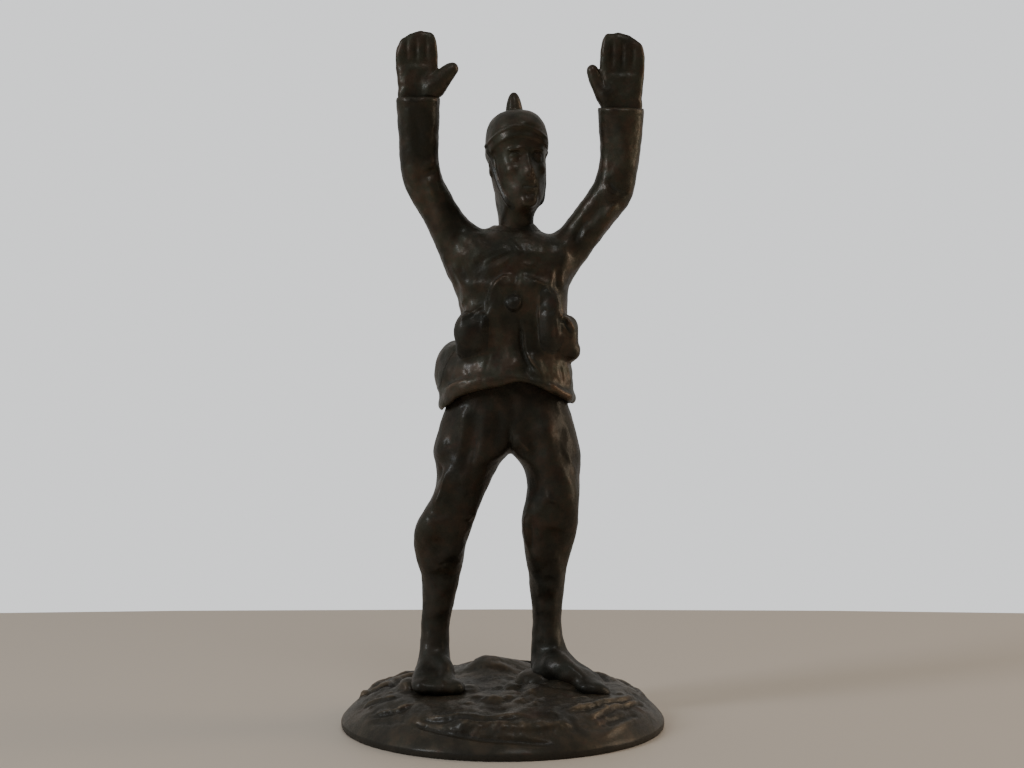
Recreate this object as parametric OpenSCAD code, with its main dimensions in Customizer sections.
// Cast metal figure of a soldier with raised arms, on a round modelled base.
// The castings are made apart, dowelled together and screwed to the base from below.
// Millimetres, Z up, the figure faces -Y, its right hand is at -X.
// The origin is the centre of the base's underside.

/* [Base] */
// Diameter of the round base
base_d = 60; // [54:1:72]
// Height of the base's upright edge
rim_h = 3.2; // [2.6:0.1:5]
// Rise of the ground from that edge to where the boots stand
ground_rise = 4; // [3:0.1:7]
// Height of the mound of earth behind the boots
mound_h = 2.9; // [1:0.1:5]
// Radius of the mound
mound_r = 5.2; // [3:0.1:7]
// Height of the stones between the boots
stone_h = 1.1; // [0.4:0.1:2]
// Radius of each stone
stone_r = 2.1; // [1.4:0.1:3]
// Depth of the furrows that run out to the edge
furrow_h = 0.55; // [0.1:0.05:0.9]
// Rounding of the rim's upper edge
rim_round = 0.9; // [0.3:0.1:1.4]
// Depth of the hollow under the base
recess_h = 1.8; // [1.6:0.1:2.2]
// Width of the ring that the base stands on
foot_ring_w = 4; // [2:0.5:8]

/* [Boots] */
// Height of a boot from the ground to its top
boot_h = 21.2; // [17:0.1:26]
// Length of a boot's foot, from the ankle's middle to the toe
foot_l = 11.6; // [9:0.1:13]
// Length from the ankle's middle to the back of the heel
heel_l = 3.4; // [3:0.1:5]
// Width of a boot across its toes
foot_w = 8.2; // [7:0.1:10]
// Width of a boot's shaft at its top
shaft_w = 8; // [7:0.1:9]
// Depth of a boot's shaft at its top, front to back
shaft_d = 8.4; // [7:0.1:9]
// Height of a toe cap
toe_h = 3.6; // [2.6:0.1:4.4]
// Distance between the two ankles
stance_w = 20.9; // [18:0.1:23]
// How far the right boot's shaft leans inwards at its top
right_shaft_lean = 1.2; // [0:0.1:2]
// How far the left boot's shaft leans inwards at its top
left_shaft_lean = 0.1; // [0:0.1:2]
// Angle of the left boot, turned outwards
left_toe_turn = 52; // [30:1:60]
// Angle of the right boot, turned outwards
right_toe_turn = 4; // [0:1:20]

/* [Breeches] */
// Length of the breeches from the boot tops to the hips
breeches_l = 43.6; // [38:0.1:50]
// Width across the hips
hip_w = 27.6; // [25:0.1:30]
// Depth of the hips, front to back
hip_d = 15; // [13:0.1:17]
// Height of the folds in the cloth
fold_h = 0.35; // [0:0.05:0.6]

/* [Tunic] */
// Length of the skirt below the hips
skirt_l = 13; // [9:0.1:16]
// Width of the skirt at its hem
skirt_w = 25.8; // [24.5:0.1:30]
// Depth of the skirt at its hem, front to back
skirt_d = 19.6; // [18:0.1:22]
// Rise of the hem at the middle of the front
hem_rise = 4; // [0:0.1:6]
// Wall of the skirt
skirt_wall = 1; // [0.7:0.1:1.3]
// Length of the trunk from the hips to the collar
trunk_l = 19; // [16:0.1:21]
// Width of the waist under the belt
waist_w = 18.4; // [17:0.1:20]
// Depth of the waist, front to back
waist_d = 13; // [11:0.1:14]
// Width of the chest
chest_w = 23.4; // [22:0.1:26]
// Depth of the chest, front to back
chest_d = 13.4; // [12:0.1:15]

/* [Belt and pouches] */
// Height of the belt
belt_h = 4.2; // [2.5:0.1:5]
// Thickness of the belt
belt_t = 0.6; // [0.4:0.05:1]
// Diameter of the round buckle
buckle_d = 2.6; // [2:0.1:3.6]
// Height of the buckle's dome
buckle_h = 0.9; // [0.6:0.1:1.4]
// Thickness of the right pouch
right_pouch_t = 2.2; // [1.4:0.1:3]
// Thickness of the left front pouch
left_front_pouch_t = 1.9; // [1.2:0.1:2.6]
// Thickness of the left side pouch
left_side_pouch_t = 1.5; // [1:0.1:2.4]
// Thickness of the bread bag
bag_t = 1.5; // [1:0.1:3]
// Thickness of the flap on each pouch
flap_t = 0.45; // [0.3:0.05:0.8]

/* [Arms] */
// Length of an arm from the shoulder joint up to the cuff
arm_l = 28.9; // [26:0.1:33]
// Width of a sleeve at its cuff
sleeve_w = 8.2; // [7.6:0.1:9]
// Depth of a sleeve at its cuff
sleeve_d = 7.2; // [6.4:0.1:8]
// Width of a palm
palm_w = 7.8; // [6.8:0.1:8]
// Thickness of a palm
palm_t = 3.2; // [2.8:0.1:4]
// Height of a palm from the cuff to the roots of the fingers
palm_h = 6.2; // [5.4:0.1:7.4]
// Length of the right hand's longest finger
right_finger_l = 6; // [4.4:0.1:7]
// Length of the left hand's longest finger
left_finger_l = 6.9; // [4.4:0.1:7.4]
// Thickness of a finger
finger_d = 2.1; // [1.9:0.05:2.4]
// Length of the right thumb
right_thumb_l = 7.4; // [5.6:0.1:8]
// Length of the left thumb
left_thumb_l = 5.8; // [5:0.1:8]
// Thickness of a thumb
thumb_d = 2.6; // [2.2:0.1:3]

/* [Head] */
// Height of the head from the chin to the crown
head_h = 16.2; // [14:0.1:17]
// Width of the head
head_w = 10.2; // [9.4:0.1:11]
// Depth of the head, front to back
head_d = 12; // [11.2:0.1:13.6]
// Length of the neck in sight
neck_l = 4.8; // [4:0.1:6]
// Width of the neck
neck_w = 6.3; // [5.6:0.1:6.8]
// Angle that the head is turned to its left
head_turn = 20; // [0:1:35]
// Angle that the head is tipped back
head_tip = 9; // [0:1:14]
// How far the head stands to the figure's left of its collar
head_shift = 0.55; // [0:0.05:1]
// Height of the nose from the face
nose_h = 1.5; // [0.8:0.1:2]
// Height of the turned-down collar
collar_h = 1.7; // [1:0.1:2.4]
// Thickness of the collar
collar_t = 0.8; // [0.5:0.1:1.2]

/* [Helmet] */
// Thickness of the helmet's shell
shell_t = 0.6; // [0.4:0.05:0.8]
// Space between the skull and the shell
shell_gap = 0.25; // [0.15:0.05:0.4]
// How far the visor stands out
visor_l = 1.1; // [0.5:0.1:2]
// How far the neck guard stands out
guard_l = 0.6; // [0.2:0.1:2]
// Height of the raised band
band_w = 0.7; // [0.4:0.1:1.2]
// Thickness of the raised band
band_t = 0.3; // [0.2:0.05:0.6]
// Diameter of the spike at its foot
spike_d = 3.2; // [2.4:0.1:4]
// Height of the spike
spike_h = 3.6; // [2.5:0.1:6]
// Width of the chin strap
strap_w = 1; // [0.6:0.1:1.4]
// Thickness of the chin strap
strap_t = 0.4; // [0.25:0.05:0.6]

/* [Fixings] */
// Diameter of the dowels in the legs, shoulders and neck
dowel_d = 1.8; // [1.2:0.1:2.2]
// Length of those dowels
dowel_l = 6; // [4:0.1:7]
// Diameter of the wrist dowels
wrist_dowel_d = 1.2; // [0.8:0.1:1.5]
// Length of the wrist dowels
wrist_dowel_l = 5; // [3:0.1:6]
// Clearance round a dowel or a screw
bore_gap = 0.05; // [0.03:0.01:0.1]
// Space left at the ends of a bore
end_gap = 0.2; // [0.1:0.05:0.5]
// Diameter of the base screws
screw_d = 2; // [1.6:0.1:2.4]
// Length of a base screw under its head
screw_l = 9.6; // [8:0.1:12]
// Diameter of a base screw's head
screw_head_d = 3.6; // [3:0.1:4]
// Height of a base screw's head
screw_head_h = 1.1; // [0.8:0.1:1.2]
// Diameter of a base washer
washer_d = 5; // [4.2:0.1:6]
// Thickness of a base washer
washer_t = 0.4; // [0.3:0.05:0.5]
// Clearance between pieces that lie against each other
seat_gap = 0.15; // [0.1:0.01:0.25]

/* [Hidden] */
bronze = "#4a3a2c";
dark_bronze = "#3a2e25";
earth_bronze = "#50483a";
plain_metal = "#9a8f7c";
// Extra length of every cut
overrun = 1;
$fn = 32;

// Points round a ring of each kind of casting
base_n = 48;
leg_n = 24;
boot_n = 16;
trunk_n = 36;
arm_n = 20;
head_n = 32;
finger_n = 8;

// Heights of the seats, from the underside of the base upwards
ground_z = rim_h + ground_rise;
boot_top_z = ground_z + boot_h;
hip_z = boot_top_z + breeches_l;
neck_z = hip_z + trunk_l;
chin_z = neck_z + neck_l;
// The figure's middle plane, a little to its left on the base
mid_share = 0.023;
mid_x = base_d * mid_share;

// A value from a table of rows, smooth between them; u counts rows from 0
function row_at(rows, u) =
    let (
        last = len(rows) - 1,
        i = max(0, min(floor(u), last - 1)),
        t = u - i,
        a = rows[max(i - 1, 0)],
        b = rows[i],
        c = rows[i + 1],
        d = rows[min(i + 2, last)]
    )
    (2 * b + (c - a) * t + (2 * a - 5 * b + 4 * c - d) * t * t
        + (3 * b - a - 3 * c + d) * t * t * t) / 2;

// Sine or cosine bent towards a square, for e over 2
function bow(s, e) = sign(s) * pow(abs(s), 2 / e);

// A bump of height 1 at 0 that fades over r
function bump(d, r) = exp(-(d * d) / (r * r));

// 0 below a, 1 above b, smooth between
function ramp(x, a, b) = let (t = max(0, min(1, (x - a) / (b - a)))) t * t * (3 - 2 * t);

// A ring about a centre, from its half width and half depth as vectors
function ring(centre, across, deep, n, e = 2.3) = [
    for (k = [0:n - 1])
        let (a = 360 * k / n)
        centre + across * bow(cos(a), e) + deep * bow(sin(a), e)
];

// Closed skin through rings of n points, with flat ends that fan out from their middles
module skin(rings) {
    n = len(rings[0]);
    m = len(rings);
    polyhedron(
        points = concat([for (r = rings) for (p = r) p], [middle(rings[0]), middle(rings[m - 1])]),
        faces = [
            for (k = [0:n - 1])
                let (q = (k + 1) % n, top = (m - 1) * n)
                each [
                    [m * n, k, q],
                    [m * n + 1, top + q, top + k],
                    for (i = [0:m - 2])
                        each [
                            [i * n + k, (i + 1) * n + k, (i + 1) * n + q],
                            [i * n + k, (i + 1) * n + q, i * n + q]
                        ]
                ]
        ]
    );
}

// The mean of a ring's points
function middle(points) = [for (p = points) 1] * points / len(points);

// Closed loop of sections, each of n points, such as a belt
module loop(sections) {
    n = len(sections[0]);
    m = len(sections);
    polyhedron(
        points = [for (s = sections) for (p = s) p],
        faces = [
            for (i = [0:m - 1]) for (k = [0:n - 1])
                let (j = (i + 1) % m, q = (k + 1) % n)
                each [
                    [i * n + k, i * n + q, j * n + q],
                    [i * n + k, j * n + q, j * n + k]
                ]
        ]
    );
}

// Solid between an inner and an outer grid of points of the same size
module pad(inner, outer) {
    rows = len(inner);
    cols = len(inner[0]);
    count = rows * cols;
    edge = concat(
        [for (c = [0:cols - 2]) c],
        [for (r = [0:rows - 2]) r * cols + cols - 1],
        [for (c = [cols - 1:-1:1]) (rows - 1) * cols + c],
        [for (r = [rows - 1:-1:1]) r * cols]
    );
    polyhedron(
        points = concat([for (r = inner) for (p = r) p], [for (r = outer) for (p = r) p]),
        faces = concat(
            [for (r = [0:rows - 2]) for (c = [0:cols - 2])
                let (a = r * cols + c, b = a + 1, d = a + cols, e = d + 1)
                each [[a, b, e], [a, e, d]]],
            [for (r = [0:rows - 2]) for (c = [0:cols - 2])
                let (a = count + r * cols + c, b = a + 1, d = a + cols, e = d + 1)
                each [[a, e, b], [a, d, e]]],
            [for (i = [0:len(edge) - 1])
                let (a = edge[i], b = edge[(i + 1) % len(edge)])
                each [[a, count + a, count + b], [a, count + b, b]]]
        )
    );
}

function unit(v) = v / norm(v);

// Boots. A row is the instep's place forward and up, the sole's place forward and up,
// the width, and the lean, each a share of the boot's own sizes.
boot_rows_share = [
    [0.99, 0.36, 0.99, 0.10, 0.42, 0.00],
    [0.93, 0.72, 0.96, 0.00, 0.78, 0.00],
    [0.72, 1.00, 0.72, 0.00, 0.98, 0.00],
    [0.42, 1.40, 0.30, 0.00, 0.88, 0.00],
    [0.28, 2.10, -0.60, 0.00, 0.76, 0.00],
    [0.24, 2.90, -1.00, 0.30, 0.70, 0.00],
    [0.22, 3.40, -0.92, 1.60, 0.68, 0.05],
    [0.23, 3.90, -0.84, 2.90, 0.68, 0.10],
];
// The shaft's rows: height, front, back, width and lean
shaft_rows_share = [
    [0.62, 0.38, -0.40, 0.71, 0.35],
    [0.80, 0.42, -0.46, 0.83, 0.70],
    [1.00, 0.42, -0.54, 0.98, 1.00],
];
ankle_y_share = 0.02;
right_ankle = [mid_x - stance_w * 0.67, base_d * ankle_y_share, ground_z];
left_ankle = [mid_x + stance_w * 0.33, base_d * ankle_y_share * 2, ground_z];
function shaft_lean(side) = side < 0 ? right_shaft_lean : left_shaft_lean;

function boot_rings(ankle, turn, side) =
    let (
        f = [side * sin(turn), -cos(turn), 0],
        v = [cos(turn), side * sin(turn), 0],
        up = [0, 0, 1]
    )
    concat(
        [for (i = [0:len(boot_rows_share) - 1])
            let (
                s = boot_rows_share[i],
                a = f * s[0] * foot_l + up * s[1] * toe_h,
                b = f * s[2] * (s[2] < 0 ? heel_l : foot_l) + up * s[3] * toe_h
            )
            flat_sole(ring(ankle + (a + b) / 2 - [side * s[5] * shaft_lean(side), 0, 0],
                v * s[4] * foot_w / 2, (b - a) / 2, boot_n, 2.6))],
        [for (s = shaft_rows_share)
            let (
                w = s[3] * shaft_w / 2,
                c = ankle + up * s[0] * boot_h - [side * s[4] * shaft_lean(side), 0, 0],
                y0 = -s[1] * shaft_d,
                y1 = -s[2] * shaft_d
            )
            ring(c + [0, (y0 + y1) / 2, 0], [w, 0, 0], [0, (y1 - y0) / 2, 0], boot_n, 2.2)]
    );

// Points under the ground are lifted on to it, so the sole lies flat
function flat_sole(points) = [for (p = points) [p[0], p[1], max(p[2], ground_z)]];

function boot_top(ankle, side) =
    let (s = shaft_rows_share[len(shaft_rows_share) - 1])
    ankle + [-side * s[4] * shaft_lean(side), -(s[1] + s[2]) * shaft_d / 2, boot_h];

module boot(ankle, turn, side) {
    color(dark_bronze) difference() {
        skin(boot_rings(ankle, turn, side));
        translate([ankle[0], ankle[1], ground_z - overrun])
            cylinder(d = screw_d + 2 * bore_gap, h = overrun + screw_reach() + end_gap);
        dowel_bore(boot_top(ankle, side), [0, 0, 0], dowel_d, dowel_l);
    }
}

module right_boot() { boot(right_ankle, right_toe_turn, -1); }

module left_boot() { boot(left_ankle, left_toe_turn, 1); }

// Dowels and their bores, set across a joint's plane and turned with it
module dowel(centre, turn, d, l) {
    translate(centre) rotate(turn) cylinder(d = d, h = l, center = true);
}

module dowel_bore(centre, turn, d, l) {
    translate(centre) rotate(turn)
        cylinder(d = d + 2 * bore_gap, h = l + 2 * end_gap, center = true);
}

module boot_dowels() {
    color(plain_metal) for (c = [boot_top(right_ankle, -1), boot_top(left_ankle, 1)])
        dowel(c, [0, 0, 0], dowel_d, dowel_l);
}

// Base. The ground is level where the boots stand, and falls away to the rim.
level_share = 0.7;
mound_place_share = [-0.02, 0.47];
stone_places_share = [[0.16, -0.14], [0.24, -0.24], [0.05, -0.30], [0.2, 0.12]];
lip_place_share = 0.86;
furrow_count = 16;

function off_boot(p) = min([
    for (b = [[right_ankle, right_toe_turn, -1], [left_ankle, left_toe_turn, 1]])
        let (
            f = [b[2] * sin(b[1]), -cos(b[1])],
            q = p - [b[0][0], b[0][1]],
            along = max(-heel_l, min(foot_l, q * f))
        )
        norm(q - f * along)
]);

function ground_at(p) =
    let (
        r = norm(p) / (base_d / 2),
        a = atan2(p[1], p[0]),
        free = ramp(off_boot(p), foot_w * 0.62, foot_w * 0.95),
        fall = ramp(r, level_share, 1),
        mound = mound_h * bump(norm(p - mound_place_share * base_d / 2), mound_r),
        stones = [for (s = stone_places_share) stone_h * bump(norm(p - s * base_d / 2), stone_r)],
        furrows = furrow_h * sin(a * furrow_count) * bump(r - lip_place_share, 0.14)
    )
    ground_z - ground_rise * fall
        + free * (mound + stones * [for (s = stones) 1] + furrows * (1 - 0.5 * fall));

base_rings_share = [0.1, 0.2, 0.3, 0.4, 0.5, 0.6, 0.68, 0.76, 0.83, 0.9, 0.955];

module base() {
    r = base_d / 2;
    color(earth_bronze) difference() {
        skin(concat(
            [for (z = [0, rim_h - rim_round])
                [for (k = [0:base_n - 1]) [r * cos(360 * k / base_n), r * sin(360 * k / base_n), z]]],
            [for (s = [for (i = [len(base_rings_share) - 1:-1:0]) base_rings_share[i]])
                [for (k = [0:base_n - 1])
                    let (p = [cos(360 * k / base_n), sin(360 * k / base_n)] * r * s)
                    [p[0], p[1], ground_at(p)]]]
        ));
        translate([0, 0, -overrun]) cylinder(r = r - foot_ring_w, h = recess_h + overrun, $fn = 64);
        for (a = [right_ankle, left_ankle])
            translate([a[0], a[1], 0]) cylinder(d = screw_d + 2 * bore_gap, h = ground_z + overrun);
    }
}

// How far a base screw reaches into the boot
function screw_reach() = screw_l - (ground_z - recess_h) - washer_t;

module base_screws() {
    color(plain_metal) for (a = [right_ankle, left_ankle])
        translate([a[0], a[1], recess_h - washer_t]) {
            cylinder(d = screw_d, h = screw_l);
            translate([0, 0, -screw_head_h]) difference() {
                cylinder(d = screw_head_d, h = screw_head_h);
                translate([0, 0, -overrun]) linear_extrude(overrun + screw_head_h / 2)
                    square([screw_head_d + overrun, screw_head_h / 2], center = true);
            }
        }
}

module base_washers() {
    color(plain_metal) for (a = [right_ankle, left_ankle])
        translate([a[0], a[1], recess_h - washer_t]) difference() {
            cylinder(d = washer_d, h = washer_t);
            translate([0, 0, -overrun])
                cylinder(d = screw_d + 2 * bore_gap, h = washer_t + 2 * overrun);
        }
}

// Breeches. A row is the height, the outer side and the inner side from the middle plane,
// the front and the back, as shares of the breeches' length, half width and depth.
right_leg_share = [
    [0.00, 1.24, 0.63, 0.25, 0.30],
    [0.07, 1.26, 0.60, 0.31, 0.33],
    [0.14, 1.28, 0.55, 0.40, 0.31],
    [0.21, 1.25, 0.49, 0.46, 0.27],
    [0.28, 1.14, 0.43, 0.45, 0.29],
    [0.34, 1.04, 0.35, 0.42, 0.36],
    [0.41, 0.99, 0.23, 0.41, 0.43],
    [0.47, 1.00, 0.11, 0.42, 0.48],
    [0.51, 1.02, -0.06, 0.43, 0.51],
    [0.58, 0.98, -0.40, 0.44, 0.53],
    [0.68, 0.90, -0.50, 0.44, 0.52],
    [0.73, 0.84, -0.50, 0.43, 0.50],
    [0.80, 0.78, -0.50, 0.42, 0.47],
    [1.00, 0.56, -0.50, 0.34, 0.36],
];
left_leg_share = [
    [0.00, 0.77, 0.22, 0.24, 0.32],
    [0.07, 0.79, 0.18, 0.28, 0.36],
    [0.14, 0.85, 0.15, 0.33, 0.36],
    [0.21, 0.90, 0.14, 0.40, 0.33],
    [0.28, 0.92, 0.19, 0.46, 0.30],
    [0.34, 0.95, 0.24, 0.47, 0.33],
    [0.41, 0.94, 0.22, 0.45, 0.40],
    [0.47, 0.94, 0.11, 0.44, 0.46],
    [0.51, 0.92, -0.06, 0.44, 0.50],
    [0.58, 0.89, -0.40, 0.44, 0.53],
    [0.68, 0.82, -0.50, 0.44, 0.52],
    [0.73, 0.78, -0.50, 0.43, 0.50],
    [0.80, 0.74, -0.50, 0.42, 0.47],
    [1.00, 0.55, -0.50, 0.34, 0.36],
];
leg_rings = 20;

// The ring of a leg. It stops flat at the figure's middle plane, and inside the skirt it
// keeps clear of the skirt's wall.
function leg_ring(rows, side, u) =
    let (
        s = row_at(rows, u),
        z = boot_top_z + s[0] * breeches_l,
        room = cavity_reach(z),
        out_max = side < 0 ? room[0] - (trunk_x - mid_x) : room[1] + (trunk_x - mid_x),
        out = mid_x + side * min(s[1] * hip_w / 2, out_max),
        in = mid_x + side * s[2] * hip_w / 2,
        y0 = -min(s[3] * hip_d, room[2]),
        y1 = min(s[4] * hip_d, room[3]),
        c = [(out + in) / 2, (y0 + y1) / 2, z],
        loose = fold_h * ramp(u, 0, 1.5) * (1 - ramp(u, 8.4, 9.4)),
        w = abs(out - in) / 2,
        d = (y1 - y0) / 2
    )
    [for (k = [0:leg_n - 1])
        let (
            a = 360 * k / leg_n,
            f = loose * sin(3 * a + side * 55 * u),
            p = c + [(w + f) * bow(cos(a), 2.3), (d + f) * bow(sin(a), 2.3), 0]
        )
        [side > 0 ? max(p[0], mid_x) : min(p[0], mid_x), p[1], z]];

function leg_skin(rows, side) = [
    for (i = [0:leg_rings]) leg_ring(rows, side, (len(rows) - 1) * i / leg_rings)
];

hip_dowel_share = 0.26;
function hip_dowel(side) = [mid_x + side * hip_w * hip_dowel_share / 2, 0, hip_z];

module trouser_leg(rows, side, ankle) {
    color(bronze) difference() {
        skin(leg_skin(rows, side));
        dowel_bore(boot_top(ankle, side), [0, 0, 0], dowel_d, dowel_l);
        dowel_bore(hip_dowel(side), [0, 0, 0], dowel_d, dowel_l);
    }
}

module right_trouser_leg() { trouser_leg(right_leg_share, -1, right_ankle); }

module left_trouser_leg() { trouser_leg(left_leg_share, 1, left_ankle); }

module leg_dowels() {
    color(plain_metal) for (side = [-1, 1]) dowel(hip_dowel(side), [0, 0, 0], dowel_d, dowel_l);
}

// Tunic. Each row is a level of the trunk, from the hem up to the neck: the height, the
// reach to the right and to the left, the front and the back.
trunk_lean_share = 0.03;
trunk_x = mid_x + chest_w * trunk_lean_share;
belt_z = hip_z + trunk_l * 0.21;
waist_row = [waist_w * 0.5, waist_w * 0.5, waist_d * 0.5, waist_d * 0.48];
belt_bulge = [belt_t, belt_t, belt_t, belt_t];

function level(z, widths) = concat([z], widths);

hem_widths = [skirt_w * 0.55, skirt_w * 0.445, skirt_d * 0.46, skirt_d * 0.54];
hem_roll = 1.4;
skirt_rows = [
    level(hip_z - skirt_l, hem_widths * 0.955),
    level(hip_z - skirt_l + hem_roll * 0.45, hem_widths * 0.995),
    level(hip_z - skirt_l + hem_roll, hem_widths),
    level(hip_z - skirt_l + hem_roll * 2, hem_widths * 0.945),
    level(hip_z - skirt_l * 0.5, hem_widths * 0.40 + waist_row * 0.68),
    level(hip_z - skirt_l * 0.2, hem_widths * 0.18 + waist_row * 0.83),
    level(hip_z + (belt_z - hip_z) * 0.3, hem_widths * 0.04 + waist_row * 1.0),
    level(belt_z - seat_gap, waist_row + belt_bulge),
];
belt_rows = [
    level(belt_z - seat_gap, waist_row),
    level(belt_z + belt_h + seat_gap, waist_row * 1.01),
];
blouse_share = [1.04, 1.04, 1.08, 1.02];
chest_widths = [chest_w * 0.5, chest_w * 0.52, chest_d * 0.5, chest_d * 0.5];
trunk_rows = [
    level(belt_z + belt_h + seat_gap, waist_row + belt_bulge * 1.1),
    level(belt_z + belt_h + trunk_l * 0.07, [for (i = [0:3]) waist_row[i] * blouse_share[i] + belt_t]),
    level(neck_z - trunk_l * 0.42, chest_widths * 0.96),
    level(neck_z - trunk_l * 0.32, chest_widths),
    level(neck_z - trunk_l * 0.18, [chest_w * 0.49, chest_w * 0.48, chest_d * 0.45, chest_d * 0.48]),
    level(neck_z - trunk_l * 0.08, [chest_w * 0.42, chest_w * 0.38, chest_d * 0.37, chest_d * 0.42]),
    level(neck_z - trunk_l * 0.025, [chest_w * 0.32, chest_w * 0.28, chest_d * 0.30, chest_d * 0.38]),
    level(neck_z, [neck_w * 0.5 + collar_t * 2, neck_w * 0.5 + collar_t * 2,
        neck_w * 0.44 + collar_t * 2, neck_w * 0.62 + collar_t * 2]),
];
skirt_steps = 12;
trunk_steps = 13;
hem_front_width = 62;

// The hem rises at the middle of the front, and the rise fades out up the skirt
function hem_lift(a, z) =
    let (
        off = abs(((a + 90) % 360 + 540) % 360 - 180),
        rise = hem_rise * bump(off, hem_front_width)
    )
    rise * (1 - ramp(z, hip_z - skirt_l, hip_z - skirt_l * 0.1));

function trunk_point(row, a, shrink = 0) =
    let (
        c = cos(a),
        s = sin(a),
        w = (c < 0 ? row[1] : row[2]) - shrink,
        d = (s < 0 ? row[3] : row[4]) - shrink
    )
    [trunk_x + w * bow(c, 2.35), d * bow(s, 2.35), row[0] + hem_lift(a, row[0])];

function trunk_ring(row, shrink = 0) = [
    for (k = [0:trunk_n - 1]) trunk_point(row, 360 * k / trunk_n, shrink)
];

function spread(rows, steps) = [for (i = [0:steps]) row_at(rows, (len(rows) - 1) * i / steps)];

// The hollow of the skirt: heights, and the wall there as a share of the skirt's wall
cavity_levels = [
    [hip_z, 1.9],
    [hip_z - skirt_l * 0.25, 1.5],
    [hip_z - skirt_l * 0.55, 1.25],
    [hip_z - skirt_l + hem_roll * 1.4, 1.0],
    [hip_z - skirt_l, 0.5],
];

// The skirt's outer widths at a height
function skirt_widths_at(z) =
    let (
        n = 60,
        last = len(skirt_rows) - 1,
        all = [for (i = [0:n]) row_at(skirt_rows, last * i / n)],
        near = min([for (r = all) abs(r[0] - z)]),
        row = [for (r = all) if (abs(r[0] - z) == near) r][0]
    )
    [row[1], row[2], row[3], row[4]];

// How far the hollow reaches at a level of its own
function cavity_widths(c) = [for (w = skirt_widths_at(c[0])) w - c[1] * skirt_wall];

// How far a leg may reach at a height, to stay clear of the wall
function cavity_reach(z) =
    let (
        n = len(cavity_levels) - 1,
        i = max([0, for (k = [1:n - 1]) if (z <= cavity_levels[k][0]) k]),
        t = (cavity_levels[i][0] - z) / (cavity_levels[i][0] - cavity_levels[i + 1][0]),
        a = cavity_widths(cavity_levels[i]),
        b = cavity_widths(cavity_levels[i + 1])
    )
    z < hip_z - skirt_l ? [hip_w, hip_w, hip_d, hip_d] :
            [for (w = a * (1 - t) + b * t) w - seat_gap * 3];

function cavity_ring(c) =
    let (w = cavity_widths(c))
    trunk_ring([c[0], w[0], w[1], w[2], w[3]]);

module tunic_body() {
    skin(concat(
        [for (c = cavity_levels) cavity_ring(c)],
        [for (r = spread(skirt_rows, skirt_steps)) trunk_ring(r)],
        [for (r = belt_rows) trunk_ring(r)],
        [for (r = spread(trunk_rows, trunk_steps)) trunk_ring(r)]
    ));
}

// Shoulder joints: the middle of each, and the slope of its plane
right_shoulder = [trunk_x - chest_w * 0.385, chest_d * 0.03, neck_z - trunk_l * 0.24];
left_shoulder = [trunk_x + chest_w * 0.36, chest_d * 0.03, neck_z - trunk_l * 0.265];
right_slope = 57;
left_slope = -61;

module beyond_shoulder(place, slope) {
    reach = chest_w;
    translate(place) rotate([0, -slope, 0]) translate([-reach / 2, -reach / 2, 0])
        cube([reach, reach, reach]);
}

module tunic() {
    color(bronze) difference() {
        tunic_body();
        beyond_shoulder(right_shoulder, right_slope);
        beyond_shoulder(left_shoulder, left_slope);
        dowel_bore(right_shoulder, [0, -right_slope, 0], dowel_d, dowel_l);
        dowel_bore(left_shoulder, [0, -left_slope, 0], dowel_d, dowel_l);
        dowel_bore([trunk_x, neck_y, neck_z], [0, 0, 0], dowel_d, dowel_l);
        for (side = [-1, 1]) dowel_bore(hip_dowel(side), [0, 0, 0], dowel_d, dowel_l);
    }
}

module shoulder_dowels() {
    color(plain_metal) {
        dowel(right_shoulder, [0, -right_slope, 0], dowel_d, dowel_l);
        dowel(left_shoulder, [0, -left_slope, 0], dowel_d, dowel_l);
    }
}

// A pad on the trunk between two angles and two places in a table of rows. Its upper and
// lower edges climb by the slant from its first side to its second.
function trunk_at(rows, u, a, out) =
    let (p = trunk_point(row_at(rows, u), a))
    p + unit([p[0] - trunk_x, p[1], 0]) * out;

module trunk_pad(rows, angles, places, t, slant = 0, cols = 4, steps = 5) {
    function at(i, j, out) = trunk_at(
        rows,
        places[0] + (places[1] - places[0]) * i / steps + slant * j / cols,
        angles[0] + (angles[1] - angles[0]) * j / cols,
        out
    );
    function rise(i, j) =
        seat_gap
        + t * ((i == 0 || i == steps || j == 0 || j == cols) ? 0.7 : 1)
        + (i > steps / 2 ? flap_t : 0);
    pad(
        [for (i = [0:steps]) [for (j = [0:cols]) at(i, j, seat_gap)]],
        [for (i = [0:steps]) [for (j = [0:cols]) at(i, j, rise(i, j))]]
    );
}

module waist_belt() {
    color(dark_bronze) loop([
        for (k = [0:trunk_n - 1])
            let (
                a = 360 * k / trunk_n,
                low = level(belt_z, waist_row),
                high = level(belt_z + belt_h, waist_row * 1.01)
            )
            [
                trunk_point(low, a, -seat_gap),
                trunk_point(low, a, -belt_t),
                trunk_point(high, a, -belt_t),
                trunk_point(high, a, -seat_gap)
            ]
    ]);
}

buckle_angle = 270;

module belt_buckle() {
    front = trunk_point(level(belt_z + belt_h / 2, waist_row), buckle_angle, -belt_t);
    color(bronze) translate(front + [0, -seat_gap, 0]) rotate([90, 0, 0]) rotate_extrude()
        polygon([
            [0, 0],
            [buckle_d / 2, 0],
            [buckle_d / 2, buckle_h * 0.3],
            for (a = [15:15:75]) [buckle_d / 2 * cos(a), buckle_h * (0.3 + 0.7 * sin(a))],
            [0, buckle_h]
        ]);
}

// The trunk's levels with the belt on, for what hangs over it
belted_rows = concat(
    [for (i = [4:6]) skirt_rows[i]],
    [
        level(belt_z, [for (w = waist_row) w + belt_t]),
        level(belt_z + belt_h, [for (w = waist_row) w + belt_t]),
        level(belt_z + belt_h + trunk_l * 0.07, [for (i = [0:3]) waist_row[i] * blouse_share[i] + belt_t * 1.6]),
    ]
);

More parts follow.
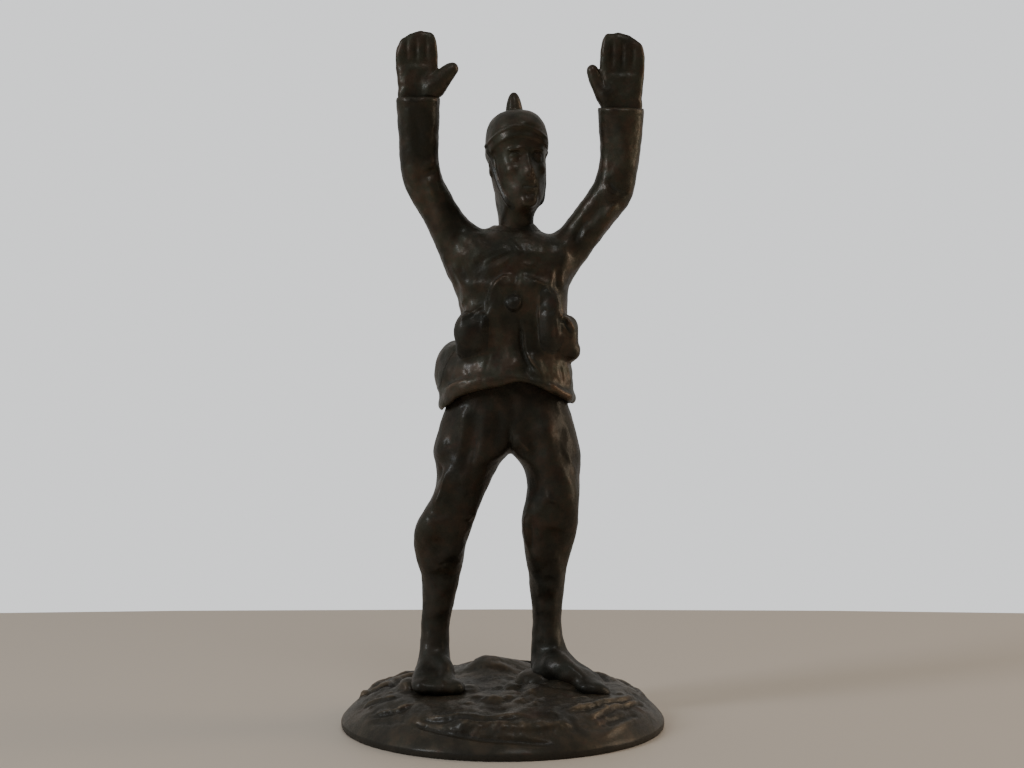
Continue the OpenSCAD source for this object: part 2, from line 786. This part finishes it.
module right_cartridge_pouch() {
    color(dark_bronze) trunk_pad(skirt_rows, [206, 244], [4.7, 6.4], right_pouch_t, 0.35);
}

module left_front_pouch() {
    color(bronze) trunk_pad(belted_rows, [297, 312], [1.2, 4.4], left_front_pouch_t, -0.3, 4, 7);
}

module left_side_pouch() {
    color(dark_bronze) trunk_pad(skirt_rows, [319, 350], [5.05, 6.8], left_side_pouch_t, -0.7);
}

module bread_bag() {
    color(bronze) trunk_pad(skirt_rows, [128, 184], [3.3, 5.3], bag_t, 0, 6, 6);
}

// Sleeves. A row is the middle of the arm to the side, forward and up, the slope of the
// ring, its width and its depth.
right_arm_share = [
    [0.000, 0.000, 0.000, 57, 1.31, 1.22],
    [-0.058, 0.000, 0.106, 42, 1.06, 1.10],
    [-0.125, -0.005, 0.232, 24, 0.86, 0.98],
    [-0.186, -0.010, 0.334, 17, 0.87, 0.99],
    [-0.239, -0.020, 0.427, 7, 0.92, 1.02],
    [-0.273, -0.030, 0.514, 1, 0.91, 0.99],
    [-0.288, -0.045, 0.638, 2, 0.88, 0.94],
    [-0.287, -0.060, 0.820, 0, 0.94, 0.96],
    [-0.292, -0.070, 1.000, 1, 1.00, 1.00],
];
left_arm_share = [
    [0.000, 0.000, 0.000, -61, 1.10, 1.22],
    [0.091, 0.000, 0.106, -44, 0.92, 1.08],
    [0.172, -0.005, 0.218, -28, 0.89, 0.98],
    [0.256, -0.010, 0.324, -19, 0.95, 0.99],
    [0.317, -0.020, 0.408, -11, 0.99, 1.02],
    [0.352, -0.030, 0.510, -4, 0.91, 0.99],
    [0.375, -0.045, 0.648, -2, 0.89, 0.94],
    [0.379, -0.060, 0.816, 0, 1.00, 0.96],
    [0.379, -0.070, 0.948, -1, 1.05, 1.00],
];
arm_rings = 13;

function arm_frame(rows, place, u) =
    let (s = row_at(rows, u))
    [place + [s[0], s[1], s[2]] * arm_l, s[3], s[4] * sleeve_w, s[5] * sleeve_d];

function arm_skin(rows, place) = [
    for (i = [0:arm_rings])
        let (f = arm_frame(rows, place, (len(rows) - 1) * i / arm_rings))
        ring(f[0], [cos(f[1]), 0, sin(f[1])] * f[2] / 2, [0, f[3] / 2, 0], arm_n, 2.2)
];

// The middle of a cuff and the slope of its plane
function cuff(rows, place) = arm_frame(rows, place, len(rows) - 1);

module sleeve(rows, place) {
    end = cuff(rows, place);
    color(bronze) difference() {
        skin(arm_skin(rows, place));
        dowel_bore(place, [0, -rows[0][3], 0], dowel_d, dowel_l);
        dowel_bore(end[0], [0, -end[1], 0], wrist_dowel_d, wrist_dowel_l);
    }
}

module right_sleeve() { sleeve(right_arm_share, right_shoulder); }

module left_sleeve() { sleeve(left_arm_share, left_shoulder); }

module wrist_dowels() {
    color(plain_metal) {
        r = cuff(right_arm_share, right_shoulder);
        l = cuff(left_arm_share, left_shoulder);
        dowel(r[0], [0, -r[1], 0], wrist_dowel_d, wrist_dowel_l);
        dowel(l[0], [0, -l[1], 0], wrist_dowel_d, wrist_dowel_l);
    }
}

// Hands, drawn for the right one with the thumb at +X and the palm to -Y
palm_rows_share = [
    [0.00, -0.48, 0.46, 1.00],
    [0.25, -0.46, 0.54, 1.04],
    [0.55, -0.49, 0.52, 1.00],
    [0.85, -0.50, 0.46, 0.88],
    [1.04, -0.45, 0.42, 0.60],
];
finger_lengths_share = [0.80, 0.96, 1.00, 0.92];
finger_places_share = [-0.345, -0.12, 0.11, 0.335];
finger_rings_share = [[-0.25, 0.9], [0.05, 1], [0.5, 0.96], [0.82, 0.84], [0.96, 0.55], [1, 0.2]];
thumb_rings_share = [[0, 0.95], [0.3, 1.1], [0.62, 0.98], [0.86, 0.9], [0.97, 0.55], [1, 0.2]];
thumb_slope = 41;

module finger(x, l) {
    skin([
        for (s = finger_rings_share)
            let (r = finger_d / 2 * s[1])
            ring([x, 0, palm_h + s[0] * l], [r, 0, 0], [0, r, 0], finger_n, 2)
    ]);
}

module thumb(l) {
    root = [palm_w * 0.22, -palm_t * 0.1, palm_h * 0.06];
    way = [cos(thumb_slope), 0, sin(thumb_slope)];
    skin([
        for (s = thumb_rings_share)
            let (r = thumb_d / 2 * s[1])
            ring(root + way * s[0] * l, [way[2], 0, -way[0]] * r, [0, r, 0], finger_n + 2, 2)
    ]);
}

module hand_shape(finger_l, thumb_l) {
    skin([
        for (s = palm_rows_share)
            ring(
                [(s[1] + s[2]) * palm_w / 2, 0, s[0] * palm_h],
                [(s[2] - s[1]) * palm_w / 2, 0, 0],
                [0, s[3] * palm_t / 2, 0],
                14, 2.6
            )
    ]);
    for (i = [0:3])
        finger(finger_places_share[i] * palm_w, finger_lengths_share[i] * finger_l);
    thumb(thumb_l);
}

// The left hand was modelled a little larger than the right one
left_hand_share = 1.06;

module hand(end, size, finger_l, thumb_l, side) {
    color(bronze) difference() {
        translate(end[0]) rotate([0, -end[1], 0]) difference() {
            scale(size) mirror([side < 0 ? 0 : 1, 0, 0]) hand_shape(finger_l, thumb_l);
            translate([-palm_w, -palm_w, -palm_w]) cube([2 * palm_w, 2 * palm_w, palm_w]);
        }
        dowel_bore(end[0], [0, -end[1], 0], wrist_dowel_d, wrist_dowel_l);
    }
}

module right_hand() {
    hand(cuff(right_arm_share, right_shoulder), 1, right_finger_l, right_thumb_l, -1);
}

module left_hand() {
    hand(cuff(left_arm_share, left_shoulder), left_hand_share, left_finger_l, left_thumb_l, 1);
}

// Head. A row is the height above the chin, the half width, the front and the back, as
// shares of the head's height, width and depth. The neck has rows of its own.
neck_y = 0.6;
neck_rows_share = [
    [0.00, 0.52, 0.42, 0.60],
    [0.45, 0.49, 0.42, 0.56],
    [0.85, 0.50, 0.44, 0.56],
];
head_rows_share = [
    [-0.015, 0.27, 0.29, 0.26],
    [0.00, 0.27, 0.42, 0.28],
    [0.05, 0.31, 0.47, 0.32],
    [0.15, 0.40, 0.485, 0.38],
    [0.28, 0.46, 0.48, 0.45],
    [0.40, 0.485, 0.475, 0.49],
    [0.50, 0.49, 0.465, 0.48],
    [0.60, 0.475, 0.46, 0.48],
    [0.72, 0.465, 0.445, 0.46],
    [0.84, 0.41, 0.385, 0.40],
    [0.94, 0.28, 0.25, 0.26],
    [0.99, 0.10, 0.09, 0.10],
];
head_rings = 24;
brow_share = 0.56;
eye_share = 0.50;
nose_share = 0.28;
mouth_share = 0.185;

// Angles round the head, closer together over the face
function head_angle(k) = let (a = 360 * k / head_n) a + 24 * sin(2 * a) * (sin(a) < 0 ? 1 : 0);

// How far the face stands out at a place: x across and h up, as shares
function face(x, h) =
    nose_h * bump(x, 0.04 + 0.09 * ramp(-h, -0.46, -0.3))
            * ramp(h, nose_share - 0.03, nose_share + 0.03) * (1 - ramp(h, nose_share + 0.06, brow_share))
        + nose_h * 0.28 * bump(h - brow_share, 0.035) * bump(abs(x) - 0.17, 0.16)
        - nose_h * 0.42 * bump(h - eye_share, 0.045) * bump(abs(x) - 0.2, 0.1)
        + nose_h * 0.2 * bump(h - eye_share, 0.025) * bump(abs(x) - 0.2, 0.06)
        + nose_h * 0.26 * bump(h - mouth_share, 0.028) * bump(x, 0.16)
        - nose_h * 0.16 * bump(h - mouth_share, 0.01) * bump(x, 0.16)
        - nose_h * 0.18 * bump(h - 0.12, 0.03) * bump(x, 0.15)
        + nose_h * 0.2 * bump(h - 0.05, 0.05) * bump(x, 0.13);

// A head point turned and tipped about the neck's top
function turned(p, share) =
    let (
        t = head_tip * share,
        r = head_turn * share,
        q = [p[0], p[1] * cos(t) + p[2] * sin(t), p[2] * cos(t) - p[1] * sin(t)]
    )
    [
        trunk_x + head_shift * share + q[0] * cos(r) - q[1] * sin(r),
        neck_y + q[0] * sin(r) + q[1] * cos(r),
        chin_z + q[2]
    ];

head_forward_share = 0.06;

function head_point(row, a, out = 0) =
    let (
        c = cos(a),
        s = sin(a),
        w = row[1] * head_w + out,
        d = (s < 0 ? row[2] : row[3]) * head_d + out,
        x = w * bow(c, 2.25),
        y = d * bow(s, 2.25),
        f = s < 0 ? face(x / head_w, row[0]) * ramp(-s, 0.1, 0.5) : 0
    )
    turned([x, y - f - head_forward_share * head_d, row[0] * head_h], 1);

function neck_ring(row) = [
    for (k = [0:head_n - 1])
        let (
            a = head_angle(k),
            d = sin(a) < 0 ? row[2] : row[3]
        )
        turned([row[1] * neck_w * bow(cos(a), 2.1), d * neck_w * bow(sin(a), 2.1),
            (row[0] - 1) * neck_l], row[0] * 0.5)
];

function head_ring(row, out = 0) = [for (k = [0:head_n - 1]) head_point(row, head_angle(k), out)];

module head() {
    color(bronze) difference() {
        skin(concat(
            [for (r = neck_rows_share) neck_ring(r)],
            [for (r = spread(head_rows_share, head_rings)) head_ring(r)]
        ));
        dowel_bore([trunk_x, neck_y, neck_z], [0, 0, 0], dowel_d, dowel_l);
    }
}

module neck_dowel() {
    color(plain_metal) dowel([trunk_x, neck_y, neck_z], [0, 0, 0], dowel_d, dowel_l);
}

// The collar stands round the neck, and its top dips to a V in front
module collar() {
    low = neck_rows_share[0];
    color(bronze) loop([
        for (k = [0:head_n - 1])
            let (
                a = head_angle(k),
                d = sin(a) < 0 ? low[2] : low[3],
                dir = [bow(cos(a), 2.1), bow(sin(a), 2.1), 0],
                in = [low[1] * neck_w + seat_gap * 2, d * neck_w + seat_gap * 2, 0],
                dip = 0.72 * bump(cos(a), 0.34) * (sin(a) < 0 ? 1 : 0),
                c = [trunk_x, neck_y, neck_z],
                top = [0, 0, collar_h * (1 - dip)],
                inner = [dir[0] * in[0], dir[1] * in[1], 0],
                outer = [dir[0] * (in[0] + collar_t), dir[1] * (in[1] + collar_t), 0],
                flare = [dir[0], dir[1], 0] * seat_gap
            )
            [c + inner, c + outer + flare, c + outer + top * 0.8, c + inner + top]
    ]);
}

// Helmet. Its rows follow the skull from the rim to the crown.
rim_rows_share = 5.5;
crown_row = len(head_rows_share) - 1;
helmet_rings = 8;
rim_front_share = 0.2;
rim_back_share = 0.2;

// The rim arches over the face and comes down at the back
function rim_lift(a, i) =
    let (fade = 1 - ramp(i, 0, 4))
    fade * head_h * (sin(a) < 0 ? rim_front_share * bump(cos(a), 0.62) : -rim_back_share * bump(cos(a), 0.75));

function helmet_row(i) =
    let (
        t = i / helmet_rings,
        h = 0.60 + 0.40 * sin(90 * t),
        w = pow(cos(90 * t * 0.985), 0.66)
    )
    [h, 0.485 * w, 0.47 * w, 0.49 * w];

function helmet_point(i, a, out) =
    let (
        row = helmet_row(i),
        reach = sin(a) < 0 ? visor_l : guard_l,
        brim = reach * bump(i, 1.1) * ramp(abs(sin(a)), 0.3, 0.9),
        c = cos(a),
        s = sin(a),
        x = (row[1] * head_w + out) * bow(c, 2.25),
        y = ((s < 0 ? row[2] : row[3]) * head_d + out + brim) * bow(s, 2.25)
    )
    turned([x, y - head_forward_share * head_d, row[0] * head_h + out * i / helmet_rings + rim_lift(a, i)], 1);

function helmet_ring(i, out) = [for (k = [0:head_n - 1]) helmet_point(i, head_angle(k), out)];

module helmet_shell() {
    inner = shell_gap;
    outer = shell_gap + shell_t;
    color(bronze) skin(concat(
        [for (i = [helmet_rings:-1:0]) helmet_ring(i, inner)],
        [for (i = [0:helmet_rings]) helmet_ring(i, outer)]
    ));
}

module helmet_band() {
    outer = shell_gap + shell_t + seat_gap;
    color(dark_bronze) loop([
        for (k = [0:head_n - 1])
            let (
                a = head_angle(k),
                low = helmet_point(1.6, a, outer),
                high = helmet_point(1.6 + band_w, a, outer),
                low_out = helmet_point(1.6, a, outer + band_t),
                high_out = helmet_point(1.6 + band_w, a, outer + band_t)
            )
            [low, low_out, high_out, high]
    ]);
}

module helmet_spike() {
    top = helmet_point(helmet_rings, 90, shell_gap + shell_t);
    color(bronze) translate(top) rotate([-head_tip, 0, head_turn]) rotate_extrude()
        polygon([
            [0, seat_gap],
            [spike_d / 2, seat_gap],
            for (t = [0.15, 0.3, 0.45, 0.6, 0.75, 0.88, 0.96])
                [spike_d / 2 * sqrt(1 - t * t), seat_gap + spike_h * t],
            [0, seat_gap + spike_h]
        ]);
}

// The strap runs from the helmet's rim down both cheeks and under the jaw
strap_side_steps = 7;
strap_rows_share = [6.45, 1.6];
strap_angles_share = [0, 0.52];

// A point of the strap at one cheek, for t from 0 at the rim to 1 at the jaw
function strap_side(t, side, out, w) =
    let (
        u = strap_rows_share[0] + (strap_rows_share[1] - strap_rows_share[0]) * t,
        a = 90 * (strap_angles_share[0] + (strap_angles_share[1] - strap_angles_share[0]) * t * t)
    )
    head_point(row_at(head_rows_share, u), side > 0 ? -a : 180 + a, out) + [0, w * strap_w / 2, 0];

// A point under the jaw, for t from -1 at the right to 1 at the left
function strap_under(t, out, w) =
    let (
        r = strap_side(1, -1, out, w),
        l = strap_side(1, 1, out, w)
    )
    (r * (1 - t) + l * (1 + t)) / 2 - [0, 0, head_h * 0.075 + out * (1 - t * t)];

function strap_edge(out, w) = concat(
    [for (i = [0:strap_side_steps]) strap_side(i / strap_side_steps, -1, out, w)],
    [for (t = [-0.6, 0, 0.6]) strap_under(t, out, w)],
    [for (i = [strap_side_steps:-1:0]) strap_side(i / strap_side_steps, 1, out, w)]
);

module chin_strap() {
    low = seat_gap * 2;
    inner = [strap_edge(low, 1), strap_edge(low, -1)];
    outer = [strap_edge(low + strap_t, 1), strap_edge(low + strap_t, -1)];
    color(dark_bronze) pad(inner, outer);
}

base();
base_screws();
base_washers();
right_boot();
left_boot();
boot_dowels();
right_trouser_leg();
left_trouser_leg();
leg_dowels();
tunic();
waist_belt();
belt_buckle();
right_cartridge_pouch();
left_front_pouch();
left_side_pouch();
bread_bag();
collar();
right_sleeve();
left_sleeve();
shoulder_dowels();
right_hand();
left_hand();
wrist_dowels();
head();
neck_dowel();
helmet_shell();
helmet_band();
chin_strap();
helmet_spike();
